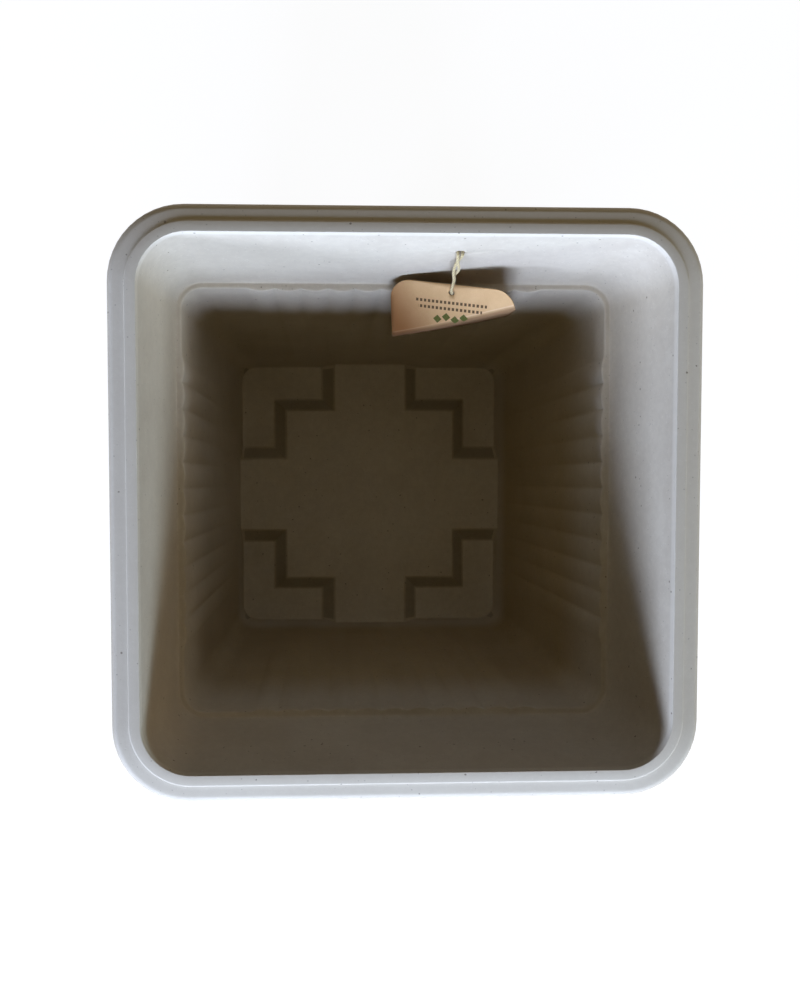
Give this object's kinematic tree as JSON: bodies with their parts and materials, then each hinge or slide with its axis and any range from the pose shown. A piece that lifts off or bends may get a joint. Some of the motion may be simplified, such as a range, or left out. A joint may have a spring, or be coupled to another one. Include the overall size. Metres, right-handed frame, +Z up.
{
  "type": "square planter",
  "caption": "Tapered square plant pot with a stepped rim, plain collar, fluted walls and hollow L-shaped feet, with a creased card tag on a twine loop inside.",
  "frame": {"origin": "on the ground, under the middle of the four feet", "axes": "+Z up, +Y towards the wall that carries the tag, +X to the right of someone who faces that wall"},
  "size_m": [0.296, 0.296, 0.294],
  "materials": {
    "pot": "light grey-beige moulded composite with fine dark and pale specks",
    "twine": "cream twisted cotton twine",
    "card": "uncoated kraft card"
  },
  "bodies": {
    "pot": {"pot_shell": "pot"},
    "knot": {"twine_knot": "twine"},
    "twine": {"twine_loop": "twine"},
    "tag": {"hang_tag": "card"}
  },
  "joints": [
    {"name": "knot_spin", "type": "hinge", "parent": "pot", "child": "knot", "pos_m": [0.029, 0.1286, 0.2686], "axis": [0, 1, 0], "range_deg": [-20, 45]},
    {"name": "twine_swing", "type": "hinge", "parent": "knot", "child": "twine", "pos_m": [0.029, 0.1286, 0.2686], "axis": [-1, 0, 0], "range_deg": [0, 90]},
    {"name": "tag_tilt", "type": "hinge", "parent": "twine", "child": "tag", "pos_m": [0.029, 0.115, 0.2416], "axis": [-0.919, 0.1722, -0.3548], "range_deg": [0, 45], "deforming": ["twine_loop"]}
  ]
}
